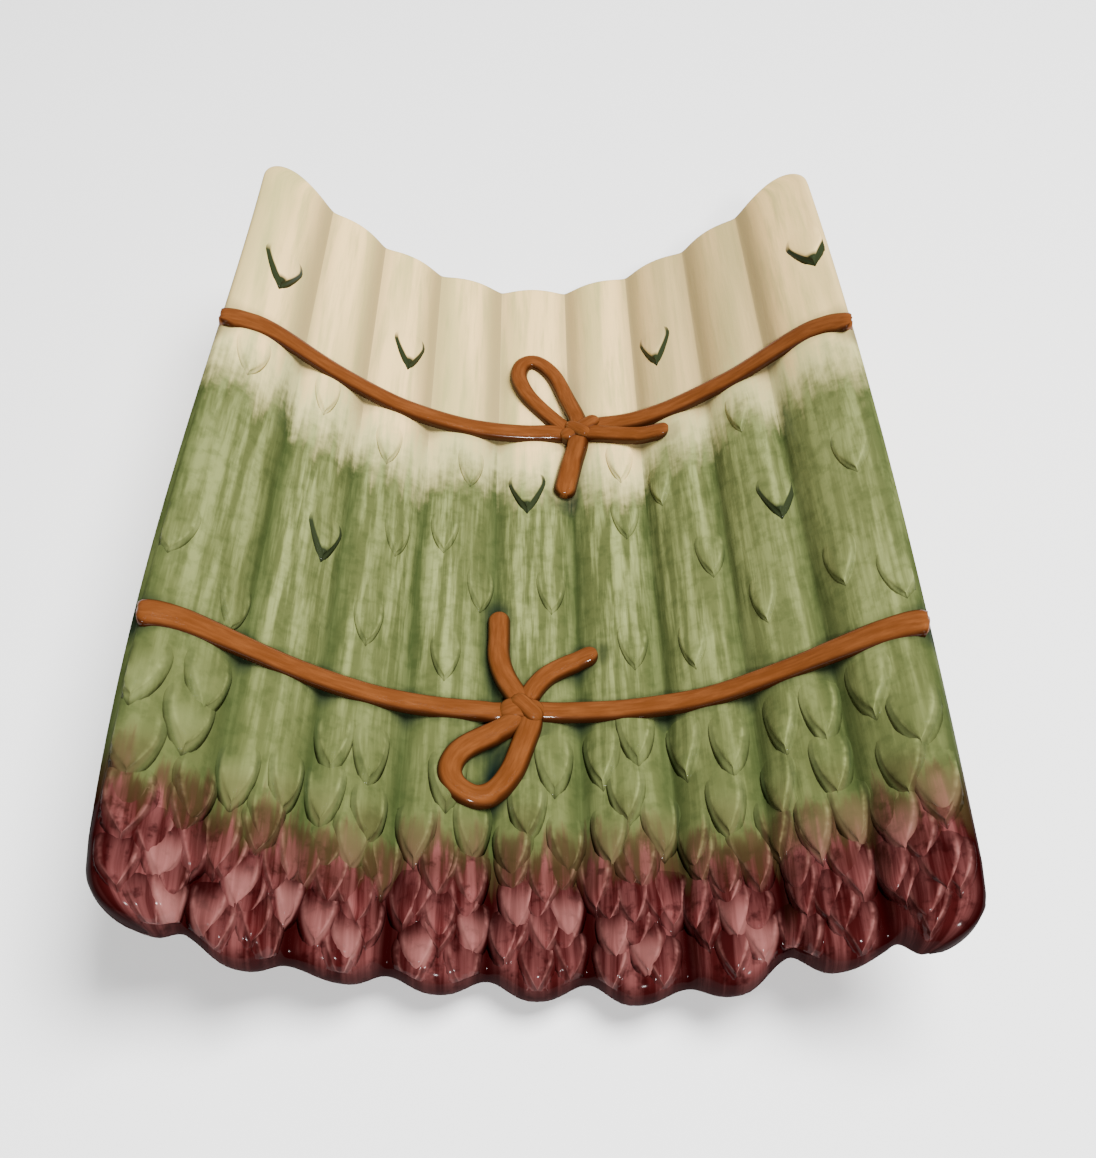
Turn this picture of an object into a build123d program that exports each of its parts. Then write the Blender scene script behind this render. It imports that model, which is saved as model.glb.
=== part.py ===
"""Asparagus plate: nine stalks of glazed earthenware luted side by side into a trough.

Millimetres, +Z up, +X to the right, +Y towards the cut white ends, tips towards -Y.
The origin is on the table, under the middle of the plate.
"""
import os
from math import cos, radians, sin, sqrt

from build123d import *

# Plate outline
LENGTH = 265.0              # cut ends to the foremost tip
END_WIDTH = 172.0           # across the rims at the cut ends
TIP_WIDTH = 203.0           # across the rims at the tips
SIDE_BOW = 4.8              # how far each long rim bows out from straight
EDGE_ROUND = 4.0            # rounding of every upper edge
TIP_LOBE = 8.5              # bulge of one rounded tip, over its full luted width
TIP_SETBACKS = (6.0, 2.8, 4.4, 4.0, 3.1, 0.0, 1.2, 2.2, 1.2)   # each tip behind the foremost, left to right
CORNER_ROUND = 8.0          # plan radius of the two front corners
END_CORNER = 5.0            # plan radius of the two back corners

# Stalks, counted outwards from the middle one
END_PITCH = 21.9            # stalk width at the cut ends
TIP_PITCH = 24.3            # stalk width at the tips
END_TILTS = (19.0, 32.0, 41.0, 50.0)    # lean of each outward stalk at the cut ends, degrees
TIP_TILTS = (7.0, 21.0, 28.0, 30.0)     # lean of each outward stalk at the tips, degrees
END_CROWN = 1.7             # rise of a stalk over its valleys at the cut ends
TIP_CROWN = 2.9             # rise of a stalk over its valleys at the tips
LUTING = 2.0                # how far neighbouring stalks run into each other
WALL = 7.0                  # clay under the valleys
LIP = 5.0                   # clay under the valleys at the tips
LIP_RUN = 14.0              # the wall thins to the lip over this length

# Foot
FOOT_CLEARANCE = 6.0        # table to the underside, below the two middle valleys
FOOT_LENGTH = 150.0
FOOT_WIDTH = 84.0
FOOT_WALL = 6.0
FOOT_CORNER = 24.0

# Ties, laid over the stalks
REAR_TIE = 73.6             # cut ends to the middle of the rear tie
FRONT_TIE = 182.5           # cut ends to the middle of the front tie
TIE_WIDTH = 5.6
TIE_HEIGHT = 2.2            # stands this far above the crowns
TIE_SETBACK = 0.4           # a tie stops this far inside the rim's outermost line
KNOT_LENGTH = 13.0
KNOT_WIDTH = 10.6
KNOT_HEIGHT = 4.4
REAR_KNOT_X = 14.0
FRONT_KNOT_X = -4.0
STRAND = 5.0                # width of the bow's strands
LOOP_WAIST = 0.38           # where a loop's eye starts, as a share of the loop
LOOP_THROAT = 0.6           # radius of the eye's narrow end
REAR_LOOP = (-14.0, 26.5)   # middle of the loop's far end, from its knot
REAR_LOOP_RADIUS = 7.6
REAR_SIDE_TAIL = (26.0, -12.0)
REAR_FRONT_TAIL = (-5.0, -27.5)
FRONT_LOOP = (-12.5, -20.5)
FRONT_LOOP_RADIUS = 9.5
FRONT_LEFT_TAIL = ((-5.5, 16.0), (-6.8, 31.0))
FRONT_RIGHT_TAIL = ((8.0, 13.0), (18.5, 19.0))

# Bracts, the pointed scales pressed onto the stalks
BRACT_LENGTH = 15.0
BRACT_WIDTH = 10.5
BRACT_ROOT = 0.3            # thickness at the root
BRACT_TIP = 1.7             # thickness at the point
BRACT_BELLY = 0.36          # widest this share of the length from the root
BRACT_NECK = 0.40           # half width at the root, as a share of the width
TIP_BRACT_LENGTH = 13.5     # the bracts that crowd the tips and overlap row by row
TIP_BRACT_WIDTH = 10.0
TIP_BRACT_ROWS = (6, 6, 6, 4, 5, 6, 6, 6, 6)   # rows on each stalk, left to right
TIP_ROW_PITCH = 10.0
TIP_ROW_START = 6.0         # foremost tip to the first row's points
TIP_ROW_STEP = 2.5          # rows of neighbouring stalks are staggered by this
TIP_ROW_CYCLE = 3           # the stagger starts again after this many stalks
TIP_BRACT_SPREAD = 0.29     # paired bracts stand this share of a stalk off its middle
# Bracts along each stalk, left to right: distance of the point from the cut ends,
# and its place across the stalk as a share of the stalk's width
SHAFT_BRACTS = (
    ((52.0, 0.05), (160.0, -0.25), (174.0, 0.25)),
    ((93.0, -0.10), (142.0, 0.20)),
    ((54.0, 0.05), (98.0, -0.10), (132.0, 0.15), (166.0, -0.10)),
    ((126.0, -0.20), (146.0, 0.25), (168.0, -0.10)),
    ((106.0, -0.10), (146.0, 0.20)),
    ((120.0, 0.20), (166.0, 0.20)),
    ((52.0, -0.10), (110.0, -0.20), (142.0, 0.25), (168.0, 0.0)),
    ((130.0, 0.25), (164.0, -0.10)),
    ((48.0, 0.15), (128.0, 0.15), (162.0, -0.15)),
)

BACK_Y = LENGTH / 2
TIP_Y = -LENGTH / 2
FLOOR_Z = FOOT_CLEARANCE + WALL         # valleys beside the middle stalk
MARGIN = 6.0                            # blanks run past the finished edges by this
CROWN_SPARE = 0.4                       # the rounding limit clears the crowns by this
SUNK = 4.0                              # blanks of the relief reach this far into the wall
SHOULDER_SHARES = (1.0, 0.5, 0.15, 0.0)     # points on the rolled rim, in from its edge
CORNER_SHARES = (0.0, 0.06, 0.18, 0.36, 0.64, 1.0)  # sections through the rounded corners
BOW_SECTIONS = 5                        # sections along the bowed rims
BACK_BLANK = BACK_Y + MARGIN
TIP_BLANK = TIP_Y - MARGIN
OUTER = len(TIP_TILTS)                  # number of the outermost stalk
BELOW = -10.0                           # blanks start this far under the table
ABOVE = 150.0


def blend(end, tip, y):
    """Value between the cut ends and the tips at y."""
    share = (BACK_Y - y) / LENGTH
    return end + (tip - end) * share


def half_section(pitch, half_width, tilts):
    """Valley points from the middle stalk's edge out to the rim, as (x, z)."""
    points = [Vector(pitch / 2, FLOOR_Z)]
    for tilt in tilts[:-1]:
        lean = radians(tilt)
        points.append(points[-1] + Vector(pitch * cos(lean), pitch * sin(lean)))
    lean = radians(tilts[-1])
    reach = (half_width - points[-1].X) / cos(lean)
    points.append(points[-1] + Vector(reach * cos(lean), reach * sin(lean)))
    return points


END_SECTION = half_section(END_PITCH, END_WIDTH / 2, END_TILTS)
TIP_SECTION = half_section(TIP_PITCH, TIP_WIDTH / 2, TIP_TILTS)


def valley(number, y):
    """Point of valley line number (0 beside the middle stalk, last at the rim) at y."""
    return blend(END_SECTION[number], TIP_SECTION[number], y)


class Flute:
    """Cross-section of one stalk at y: its chord, its normal and its crowning circle."""

    def __init__(self, number, y):
        self.outer = valley(number, y)
        self.inner = valley(number - 1, y) if number else Vector(-self.outer.X, self.outer.Y)
        self.y = y
        chord = self.outer - self.inner
        self.width = chord.length
        self.along = chord.normalized()
        self.normal = Vector(-self.along.Y, self.along.X)
        self.middle = (self.inner + self.outer) / 2
        self.crown = blend(END_CROWN, TIP_CROWN, y)
        self.radius = (self.width ** 2 / 4 + self.crown ** 2) / (2 * self.crown)
        self.centre = self.middle - self.normal * (self.radius - self.crown)

    def point(self, across, lift=0.0):
        """Point at a distance across the chord from its middle, lifted off the crown."""
        rise = sqrt(self.radius ** 2 - across ** 2)
        reach = (self.radius + lift) / self.radius
        flat = self.centre + (self.along * across + self.normal * rise) * reach
        return Vector(flat.X, self.y, flat.Y)

    def arc(self, start, end, lift=0.0):
        """Crown from one distance across to another, lifted."""
        ends = self.point(start, lift), self.point(end, lift)
        return ThreePointArc(ends[0], self.point((start + end) / 2, lift), ends[1])

    def height(self, x):
        """Level of the crown at x."""
        return self.centre.Y + sqrt(self.radius ** 2 - (x - self.centre.X) ** 2)


def face_of(*edges):
    return Face(Wire(edges))


def closed_below(edge, y):
    """Face under an edge that runs left to right, down to below the table."""
    left, right = edge @ 0, edge @ 1
    low_right = Vector(right.X, y, BELOW)
    low_left = Vector(left.X, y, BELOW)
    return face_of(edge, Line(right, low_right), Line(low_right, low_left), Line(low_left, left))


def ruled(section, *places):
    """Solid ruled through the section at each place along the plate."""
    return loft([section(y) for y in places or (BACK_BLANK, TIP_BLANK)], ruled=True)


def rim_x(y):
    """Half width of the plate at y, with the bow of its long sides."""
    share = (BACK_Y - y) / LENGTH
    return valley(OUTER, y).X + 4 * SIDE_BOW * share * (1 - share)


def quarter_round(radius, distance):
    """Drop of a rounded edge at a distance in from the edge."""
    inward = max(radius - distance, 0.0)
    return radius - sqrt(radius ** 2 - inward ** 2)


def envelope(y, lift, inset=0.0):
    """Points of a smooth line over the crowns at y, lifted off them, that rolls over the rims."""
    right = [Flute(number, y).point(0.0, lift) for number in range(1, OUTER)]
    last = Flute(OUTER, y)
    edge = rim_x(y) - inset
    shoulder = edge - EDGE_ROUND
    flank = (valley(OUTER - 1, y).X + shoulder) / 2
    right.append(Vector(flank, y, last.height(flank) + lift))
    top = last.height(shoulder) + lift
    for share in SHOULDER_SHARES:
        distance = EDGE_ROUND * share
        right.append(Vector(edge - distance, y, top - quarter_round(EDGE_ROUND, distance)))
    left = [Vector(-point.X, y, point.Z) for point in reversed(right)]
    return [*left, Flute(0, y).point(0.0, lift), *right]


def rounded_limit():
    """Everything inside the plate's rounded rims, corners, cut ends and tips."""
    def rounded(y):
        from_back, from_tip = BACK_Y - y, y - TIP_Y
        inset = quarter_round(END_CORNER, from_back) + quarter_round(CORNER_ROUND, from_tip)
        drop = quarter_round(EDGE_ROUND, min(from_back, from_tip))
        return closed_below(Spline(*envelope(y, CROWN_SPARE - drop, inset)), y)

    back = [BACK_Y - END_CORNER * share for share in CORNER_SHARES]
    tip = [TIP_Y + CORNER_ROUND * share for share in reversed(CORNER_SHARES)]
    step = (tip[0] - back[-1]) / (BOW_SECTIONS + 1)
    bow = [back[-1] + step * count for count in range(1, BOW_SECTIONS + 1)]
    return ruled(rounded, *back, *bow, *tip)


def stalk(number, setback):
    """One stalk with its rounded tip, wide enough to run into its neighbours."""
    past_rim = SIDE_BOW + MARGIN / 2 if number == OUTER else 0.0

    def section(y):
        flute = Flute(number, y)
        reach = flute.width / 2 + 2 * LUTING
        return closed_below(flute.arc(-reach, reach + past_rim), y)

    def sides(y):
        flute = Flute(number, y)
        return flute.inner.X - LUTING, flute.outer.X + LUTING

    tip_y = TIP_Y + setback
    shoulder = tip_y + TIP_LOBE
    left, right = sides(shoulder)
    back_left, back_right = sides(BACK_BLANK)
    right += past_rim
    tip = ThreePointArc((left, shoulder), ((left + right) / 2, tip_y), (right, shoulder))
    corners = [(right, shoulder), (back_right + past_rim, BACK_BLANK), (back_left, BACK_BLANK), (left, shoulder)]
    outline = face_of(tip, *Polyline(*corners).edges())
    return ruled(section) & Pos(Z=BELOW) * extrude(outline, amount=ABOVE)


def trough_section(y):
    """Everything above the smooth underside, which follows the valleys at wall depth."""
    thinning = min(max((TIP_Y + LIP_RUN - y) / LIP_RUN, 0.0), 1.0)
    depth = WALL + (LIP - WALL) * thinning
    right = []
    for number in range(OUTER + 1):
        normal = Flute(number, y).normal + Flute(min(number + 1, OUTER), y).normal
        flat = valley(number, y) - normal.normalized() * depth
        right.append(Vector(flat.X, y, flat.Y))
    beyond = Flute(OUTER, y).along * (SIDE_BOW + MARGIN)
    right.append(right[-1] + Vector(beyond.X, 0, beyond.Y))
    left = [Vector(-point.X, y, point.Z) for point in reversed(right)]
    under = Spline(*left, *right)
    top_right = Vector(right[-1].X, y, ABOVE)
    top_left = Vector(left[0].X, y, ABOVE)
    top = Line(top_right, top_left)
    return face_of(under, Line(right[-1], top_right), top, Line(top_left, left[0]))


def make_plate_body(trough):
    """Nine stalks luted into one trough, rounded all along its edge."""
    stalks = []
    for index, setback in enumerate(TIP_SETBACKS):
        piece = stalk(abs(index - OUTER), setback)
        stalks.append(mirror(piece, about=Plane.YZ) if index < OUTER else piece)
    joined = stalks[0].fuse(*stalks[1:])
    return joined & trough & rounded_limit()


def make_foot_ring(trough):
    """Closed ring of clay from the table up to the underside."""
    outer = RectangleRounded(FOOT_WIDTH, FOOT_LENGTH, FOOT_CORNER)
    inner = offset(outer, -FOOT_WALL)
    return extrude(outer - inner, amount=ABOVE - MARGIN) - trough


def relief(lift):
    """Skin over the crowns from inside the wall up to the given height."""
    def under(height, inset):
        return ruled(lambda y: closed_below(Spline(*envelope(y, height, inset)), y),
                     BACK_Y - END_CORNER, TIP_Y + CORNER_ROUND)
    return under(lift, TIE_SETBACK) - under(-SUNK, TIE_SETBACK - EDGE_ROUND)


def hull_of(start, start_radius, end, end_radius):
    """Plan of a straight run between two round ends."""
    first = Pos(*start) * Circle(start_radius)
    second = Pos(*end) * Circle(end_radius)
    return make_hull(first.edges() + second.edges())


def strand(*points):
    """Plan of a strap laid through the points, with round ends."""
    half = STRAND / 2
    return Sketch() + [hull_of(start, half, end, half) for start, end in zip(points, points[1:])]


def bow_loop(knot, far, radius):
    """Plan of a strap doubled back from its knot round a far point."""
    centre = knot + Vector(*far)
    waist = knot + Vector(*far) * LOOP_WAIST
    eye = hull_of(waist, LOOP_THROAT, centre, radius - STRAND)
    return hull_of(knot, STRAND, centre, radius) - eye


def make_tie(name, distance, knot_x, strands, body, skin):
    """One tie: two straps over the rims, a knot, a loop and two tails, seated on the stalks."""
    y = BACK_Y - distance
    knot_at = Vector(knot_x, y)
    crown = Flute(round(abs(knot_x) / TIP_PITCH), y).point(0.0).Z
    lump = scale(Sphere(1.0), (KNOT_LENGTH / 2, KNOT_WIDTH / 2, KNOT_HEIGHT))
    knot = Pos(knot_x, y, crown) * lump - body
    strap = skin & Pos(0, y, 0) * Box(2 * ABOVE, TIE_WIDTH, 2 * ABOVE)
    halves = (strap - body - knot).solids().sort_by(SortBy.VOLUME)[-2:]
    left, right = sorted(halves, key=lambda half: half.center().X)
    pieces = {f"{name}_tie_left": left, f"{name}_tie_right": right, f"{name}_knot": knot}
    for strand_name, plan in strands(knot_at).items():
        blank = (skin & extrude(plan, amount=ABOVE)).cut(body, *pieces.values())
        pieces[f"{name}_{strand_name}"] = blank.solids().sort_by(SortBy.VOLUME)[-1]
    return pieces


def rear_strands(knot):
    return {
        "bow_loop": bow_loop(knot, REAR_LOOP, REAR_LOOP_RADIUS),
        "tail_side": strand(knot, knot + Vector(*REAR_SIDE_TAIL)),
        "tail_front": strand(knot, knot + Vector(*REAR_FRONT_TAIL)),
    }


def front_strands(knot):
    return {
        "bow_loop": bow_loop(knot, FRONT_LOOP, FRONT_LOOP_RADIUS),
        "tail_left": strand(knot, *[knot + Vector(*point) for point in FRONT_LEFT_TAIL]),
        "tail_right": strand(knot, *[knot + Vector(*point) for point in FRONT_RIGHT_TAIL]),
    }


def bract(number, distance, share, length, width):
    """Blank of one pointed scale on a stalk, thin at its root and proud at its point."""
    point_y = BACK_Y - distance
    root_y = point_y + length

    def section(y):
        flute = Flute(number, y)
        middle = share * flute.width
        lift = BRACT_ROOT if y > point_y else BRACT_TIP
        top = flute.arc(middle - width, middle + width, lift)
        bottom = flute.arc(middle + width, middle - width, -SUNK / 2)
        return face_of(top, Line(top @ 1, bottom @ 0), bottom, Line(bottom @ 1, top @ 0))

    def plan(y, offset):
        flute = Flute(number, y)
        place = flute.point(share * flute.width + offset)
        return place.X, y

    belly_y = root_y - BRACT_BELLY * length
    neck = BRACT_NECK * width
    left = ThreePointArc(plan(root_y, -neck), plan(belly_y, -width / 2), plan(point_y, 0))
    right = ThreePointArc(plan(point_y, 0), plan(belly_y, width / 2), plan(root_y, neck))
    leaf = face_of(left, right, Line(right @ 1, left @ 0))
    return ruled(section, root_y, point_y) & extrude(leaf, amount=ABOVE)


def make_bracts(index, body, loop):
    """All bracts of one stalk, counted from the left, seated on its crown and clear of the bow's loop."""
    number = index - OUTER
    turn = -1 if number < 0 else 1
    places = [(*place, BRACT_LENGTH, BRACT_WIDTH) for place in SHAFT_BRACTS[index]]
    stagger = TIP_ROW_STEP * (index % TIP_ROW_CYCLE)
    first = LENGTH - TIP_SETBACKS[index] - TIP_ROW_START - stagger
    for row in range(TIP_BRACT_ROWS[index]):
        shares = (-TIP_BRACT_SPREAD, TIP_BRACT_SPREAD) if row % 2 else (0.0,)
        distance = first - row * TIP_ROW_PITCH
        places += [(distance, share, TIP_BRACT_LENGTH, TIP_BRACT_WIDTH) for share in shares]
    blanks = [bract(abs(number), distance, turn * share, length, width)
              for distance, share, length, width in places]
    joined = blanks[0].fuse(*blanks[1:])
    if turn < 0:
        joined = mirror(joined, about=Plane.YZ)
    return Compound([scale_cluster - body - loop for scale_cluster in joined.solids()])


os.makedirs("parts", exist_ok=True)
trough = ruled(trough_section, BACK_BLANK, TIP_Y + LIP_RUN, TIP_Y, TIP_BLANK)
plate_body = make_plate_body(trough)
tie_skin = relief(TIE_HEIGHT)
nodes = {"plate_body": plate_body, "foot_ring": make_foot_ring(trough)}
nodes.update(make_tie("rear", REAR_TIE, REAR_KNOT_X, rear_strands, plate_body, tie_skin))
nodes.update(make_tie("front", FRONT_TIE, FRONT_KNOT_X, front_strands, plate_body, tie_skin))
for stalk_index in range(2 * OUTER + 1):
    scales = make_bracts(stalk_index, plate_body, nodes["front_bow_loop"])
    nodes[f"bracts_stalk_{stalk_index + 1}"] = scales
for node_name, shape in nodes.items():
    export_step(shape, f"parts/{node_name}.step")
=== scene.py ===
from math import acos, cos, hypot, pi, radians, sin, sqrt

import bmesh
import bpy
import numpy as np
from mathutils import Matrix, Vector


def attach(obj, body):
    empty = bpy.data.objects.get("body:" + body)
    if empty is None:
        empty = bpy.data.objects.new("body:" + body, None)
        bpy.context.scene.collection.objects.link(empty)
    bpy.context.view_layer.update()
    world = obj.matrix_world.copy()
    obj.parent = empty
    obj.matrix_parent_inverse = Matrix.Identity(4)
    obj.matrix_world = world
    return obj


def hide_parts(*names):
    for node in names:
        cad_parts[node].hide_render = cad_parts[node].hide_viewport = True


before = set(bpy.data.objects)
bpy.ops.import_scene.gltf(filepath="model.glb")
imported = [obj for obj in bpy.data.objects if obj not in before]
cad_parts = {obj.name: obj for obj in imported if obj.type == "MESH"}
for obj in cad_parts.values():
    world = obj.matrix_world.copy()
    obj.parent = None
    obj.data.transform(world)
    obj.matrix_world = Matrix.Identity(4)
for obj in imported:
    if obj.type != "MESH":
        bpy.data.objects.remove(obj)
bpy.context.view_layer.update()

# Plate body
# Nine asparagus stalks of earthenware, press-moulded side by side as one trough: crowned stalks above,
# a smooth underside below and every edge rolled, then painted by hand and glazed.
mm = 0.001
length = 265.0
end_width, tip_width = 172.0, 203.0
end_pitch, tip_pitch = 21.9, 24.3
end_tilts, tip_tilts = (19.0, 32.0, 41.0, 50.0), (7.0, 21.0, 28.0, 30.0)
end_crown, tip_crown = 1.7, 2.9
left_bow, right_bow = 3.7, 2.4
valley_z = 13.0
wall, lip, lip_run = 7.0, 5.0, 14.0
rim_roll, tip_roll, lower_roll, lip_under = 2.6, 6.0, 2.5, 4.0
tip_roll_full, tip_roll_fade, roll_share, lower_roll_share = 1.3, 14.0, 0.6, 0.32
end_corner, tip_corner = 11.0, 12.0
notch_places = (-4.5, -3.58, -2.5, -1.5, -0.5, 0.5, 1.5, 2.55, 3.64, 4.5)
lobe_setbacks = (6.0, 2.8, 4.4, 4.0, 3.1, 1.2, 1.2, 2.2, 2.0)
notch_setbacks = (6.4, 8.7, 6.8, 8.4, 8.4, 7.5, 5.0, 9.0, 6.2, 1.5)
green_shifts = (7.0, 3.0, 3.0, 6.0, 1.0, 3.0, 3.0, 7.0, 12.0)
turn_shifts = (3.0, 6.0, 7.0, 2.0, 4.0, 3.0, 6.5, 6.5, 6.0)
shift_place, green_fade, turn_fade = 170.0, 40.0, 50.0
crease_soft, end_soft, end_soft_from, end_soft_fade = 0.035, 0.06, 110.0, 70.0
outer = len(tip_tilts)


def half_section(pitch, width, tilts):
    """Valley points (x, z) from the middle stalk's edge out to the rim."""
    points = [Vector((pitch / 2, valley_z))]
    for tilt in tilts[:-1]:
        lean = radians(tilt)
        points.append(points[-1] + pitch * Vector((cos(lean), sin(lean))))
    lean = radians(tilts[-1])
    reach = (width / 2 - points[-1].x) / cos(lean)
    points.append(points[-1] + reach * Vector((cos(lean), sin(lean))))
    return points


end_section = half_section(end_pitch, end_width, end_tilts)
tip_section = half_section(tip_pitch, tip_width, tip_tilts)


def valley(number, d):
    """Valley point (x, z) of one stalk's outer side, d from the cut ends."""
    return end_section[number].lerp(tip_section[number], d / length)


def rim_x(d, side):
    """Distance of the right or left (negative) rim from the middle: the left one bows most near the tips."""
    share = d / length
    if side > 0:
        bow = right_bow * 4 * share * (1 - share)
    else:
        bow = left_bow * 6.75 * share ** 2 * (1 - share)
    return valley(outer, d).x + bow


def clip(value):
    """A value held between 0 and 1."""
    return min(max(value, 0.0), 1.0)


def bend(share, first, second, lean_in, lean_out):
    """Smooth curve from a first level to a second one, with the slope at each end given."""
    return ((2 * share ** 3 - 3 * share ** 2 + 1) * first + (share ** 3 - 2 * share ** 2 + share) * lean_in
            + (3 * share ** 2 - 2 * share ** 3) * second + (share ** 3 - share ** 2) * lean_out)


def quarter_round(radius, distance):
    """Drop of a rolled edge at a distance in from it."""
    inward = min(max(radius - distance, 0.0), radius)
    return radius - sqrt(radius ** 2 - inward ** 2)


def tip_setback(s):
    """How far the scalloped edge stands behind the foremost tip, lobe by lobe and notch by notch."""
    index = max([i for i in range(2 * outer + 1) if s >= notch_places[i]], default=0)
    first, second = notch_places[index], notch_places[index + 1]
    off = 2 * (s - first) / (second - first) - 1
    lobe, notch = lobe_setbacks[index], notch_setbacks[index + (1 if off > 0 else 0)]
    return lobe + (notch - lobe) * (1 - cos(pi * min(abs(off), 1.0) ** 1.25)) / 2


def stalk_point(s, d, lift=0.0):
    """Place on the stalks: s counts stalks from the middle one, d runs from the cut ends."""
    number = min(int(abs(s) + 0.5), outer)
    a = abs(s) - number
    far = valley(number, d)
    near = valley(number - 1, d) if number else Vector((-far.x, far.y))
    chord = far - near
    width = chord.length
    along = chord / width
    normal = Vector((-along.y, along.x))
    crown = end_crown + (tip_crown - end_crown) * d / length
    if number == outer:
        edge = rim_x(d, s) - quarter_round(end_corner, d)
        edge -= quarter_round(tip_corner, length - tip_setback(s) - d)
        cut = 1 - (edge - near.x) / chord.x
        a -= cut * max(a + 0.5, 0.0) ** 1.8
    gap = max(0.5 - abs(a), 0.0) if number < outer or a < 0 else 0.5
    soft = crease_soft + end_soft * clip((end_soft_from - d) / end_soft_fade)
    crease = sqrt(gap ** 2 + soft ** 2)
    crest = 0.5 + soft - sqrt(0.25 + soft ** 2)
    if number == outer and a >= 0:
        rise, slope = crown * (1 - 4 * a * a), -8 * crown * a / width
    else:
        off = (0.5 + soft - crease - crest) * 0.5 / (0.5 - crest)
        rise = crown * (1 - 4 * off ** 2)
        slope = -8 * crown * off * gap / crease / width * (1 if a > 0 else -1)
    lifted = (normal - along * slope).normalized() * lift
    flat = near + along * (a + 0.5) * width + normal * rise + lifted
    return Vector((flat.x if s >= 0 else -flat.x, length / 2 - d, flat.y))


def painted(s, d):
    """Distance that the paint goes by: green and plum don't start at the same place on every stalk."""
    index = min(max(round(s), -outer), outer) + outer
    d += green_shifts[index] * clip((shift_place - d) / green_fade)
    return d - turn_shifts[index] * clip((d - shift_place) / turn_fade)


def edge_distance(x, d, s):
    """Distance from the plate's outline, round its corners."""
    side = rim_x(d, x) - abs(x)
    best = side
    for radius, end in ((end_corner, d), (tip_corner, length - tip_setback(s) - d)):
        if side < radius and end < radius:
            best = min(best, radius - hypot(radius - side, radius - end))
        else:
            best = min(best, end)
    return max(best, 0.0)


def underside(x, d):
    """Level of the smooth underside, one wall below the valleys and nearer to them at the lip."""
    depth = wall + (lip - wall) * clip((d - length + lip_run) / lip_run)
    knots = [Vector((0.0, valley_z - depth - 1.0))]
    for number in range(outer + 1):
        lines = []
        for count in (number, min(number + 1, outer)):
            near = valley(count - 1, d) if count else Vector((-valley(0, d).x, valley_z))
            lines.append((valley(count, d) - near).normalized())
        along = (lines[0] + lines[1]).normalized()
        knots.append(valley(number, d) - depth * Vector((-along.y, along.x)))
    knots.append(knots[-1] + 12.0 * along)
    x = abs(x)
    index = next((i for i in range(len(knots) - 1) if x <= knots[i + 1].x), len(knots) - 2)
    first, second = knots[index], knots[index + 1]
    before = knots[index - 1] if index else Vector((-second.x, second.y))
    after = knots[min(index + 2, len(knots) - 1)]
    span = second.x - first.x
    share = min((x - first.x) / span, 1.0)
    lean_in = (second.y - before.y) / (second.x - before.x) * span
    lean_out = (after.y - first.y) / (after.x - first.x) * span
    return bend(share, first.y, second.y, lean_in, lean_out)


def edge_drop(place, d, s):
    """How far a place near the outline is rolled down: a little at the rims, more at the tips."""
    distance = edge_distance(place.x, d, s)
    if distance >= tip_roll:
        return 0.0
    tipward = clip(tip_roll_full - (length - tip_setback(s) - d) / tip_roll_fade)
    radius = min(rim_roll + (tip_roll - rim_roll) * tipward, roll_share * (place.z - underside(place.x, d)))
    return quarter_round(radius, distance)


def finish_piece(name, bm, material, slot, *nodes):
    """A finished mesh as a piece of the plate, standing for its CAD nodes."""
    mesh = bpy.data.meshes.new(name)
    bm.to_mesh(mesh)
    bm.free()
    mesh.polygons.foreach_set("use_smooth", [True] * len(mesh.polygons))
    piece = bpy.data.objects.new(name, mesh)
    bpy.context.scene.collection.objects.link(piece)
    mesh.materials.append(material)
    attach(piece, "root")
    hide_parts(*nodes)
    return piece


def add(tree, kind, *inputs, out=0, **settings):
    """A shader node with its inputs in order, sockets linked and numbers set."""
    node = tree.nodes.new("ShaderNode" + kind)
    for key, value in settings.items():
        setattr(node, key, value)
    for socket, value in zip(node.inputs, inputs):
        if isinstance(value, bpy.types.NodeSocket):
            tree.links.new(value, socket)
        elif value is not None:
            socket.default_value = value
    return node.outputs[out]


def sums(tree, operation, first, second=0.0):
    return add(tree, "Math", first, second, operation=operation)


def ramp(tree, value, low, high, start=0.0, end=1.0):
    """Smooth step of a value from low to high."""
    return add(tree, "MapRange", value, low, high, start, end, interpolation_type="SMOOTHSTEP")


def wash(tree, amount, under, over):
    """One colour brushed over another."""
    return add(tree, "MixRGB", amount, under, over)


brush_height, coat_roughness = 0.001, 0.12


def glaze_over(material, colour, height, roughness, coat, bump):
    """Glossy glaze over a painted colour, with the brush marks standing in it."""
    tree = material.node_tree
    shader = tree.nodes["Principled BSDF"]
    tree.links.new(colour, shader.inputs["Base Color"])
    tree.links.new(add(tree, "Bump", bump, brush_height, None, height), shader.inputs["Normal"])
    shader.inputs["Roughness"].default_value = roughness
    shader.inputs["Specular IOR Level"].default_value = 0.0
    shader.inputs["Coat Weight"].default_value = coat
    shader.inputs["Coat Roughness"].default_value = coat_roughness


def new_material(name):
    material = bpy.data.materials.new(name)
    material.use_nodes = True
    return material, material.node_tree


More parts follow.
